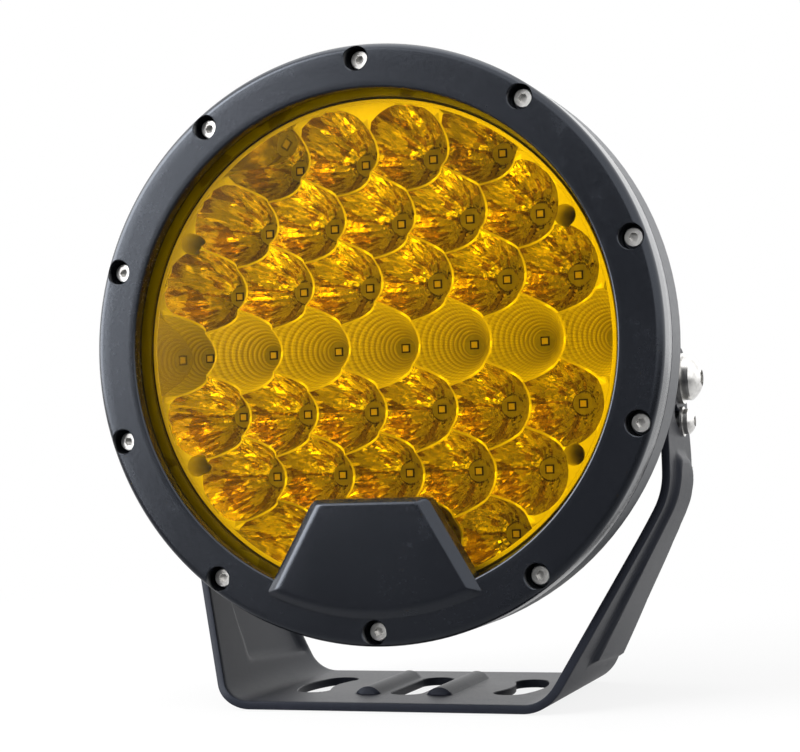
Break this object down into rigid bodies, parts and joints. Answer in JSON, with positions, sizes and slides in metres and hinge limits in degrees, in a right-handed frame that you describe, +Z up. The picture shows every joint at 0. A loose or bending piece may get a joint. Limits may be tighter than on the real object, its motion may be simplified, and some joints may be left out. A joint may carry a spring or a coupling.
{
  "type": "fog light",
  "caption": "Round LED fog light with an amber lens, a finned housing and a U-shaped slotted foot that lets the head tilt.",
  "frame": {"origin": "centre of the foot's middle slot, on the foot's underside", "axes": "+Z up, away from the mounting surface; the lamp shines along -Y; X runs along the tilt axis"},
  "size_m": [0.2246, 0.1157, 0.249],
  "materials": {
    "bracket_coat": "fine satin powder coat",
    "bezel_coat": "satin black powder coat on cast aluminium",
    "housing_coat": "satin black powder coat on cast aluminium",
    "cover_coat": "satin black powder coat on sheet aluminium",
    "stainless": "turned stainless steel",
    "amber_glass": "clear amber",
    "black_rubber": "matt",
    "grey_pad": "matt",
    "metallised_plastic": "bright vacuum-metallised",
    "led_yellow": "phosphor face",
    "board_metal": "white solder mask on aluminium",
    "green_board": "green solder mask",
    "copper_coil": "enamelled copper",
    "capacitor_can": "satin",
    "black_chip": "moulded",
    "green_terminal": "moulded",
    "lead_sheath": "silicone sheath",
    "black_nylon": "moulded nylon"
  },
  "bodies": {
    "bracket": {"mounting_bracket": "bracket_coat"},
    "lamp_head": {"front_bezel": "bezel_coat", "bezel_screws": "stainless", "amber_lens": "amber_glass", "lens_gasket": "black_rubber", "reflector": "metallised_plastic", "reflector_screws": "stainless", "led_emitters": "led_yellow", "led_board": "board_metal", "thermal_pad": "grey_pad", "rear_housing": "housing_coat", "driver_board": "green_board", "driver_board_screws": "stainless", "driver_coils": "copper_coil", "driver_capacitors": "capacitor_can", "driver_switches": "black_chip", "driver_terminal": "green_terminal", "led_leads": "lead_sheath", "lead_grommet": "black_rubber", "rear_cover_gasket": "black_rubber", "rear_cover": "cover_coat", "rear_cover_screws": "stainless", "breather_vent": "black_nylon", "gland_body": "black_nylon", "gland_washer": "black_rubber", "gland_lock_nut": "black_nylon", "gland_seal": "black_rubber", "gland_nut": "black_nylon", "pivot_bolts": "stainless", "pivot_flat_washers": "stainless", "pivot_spring_washers": "stainless", "lock_bolts": "stainless", "lock_flat_washers": "stainless", "lock_spring_washers": "stainless"}
  },
  "joints": [
    {"name": "head_tilt", "type": "hinge", "parent": "bracket", "child": "lamp_head", "pos_m": [0, 0.027, 0.121], "axis": [1, 0, 0], "range_deg": [-35, 12]}
  ]
}
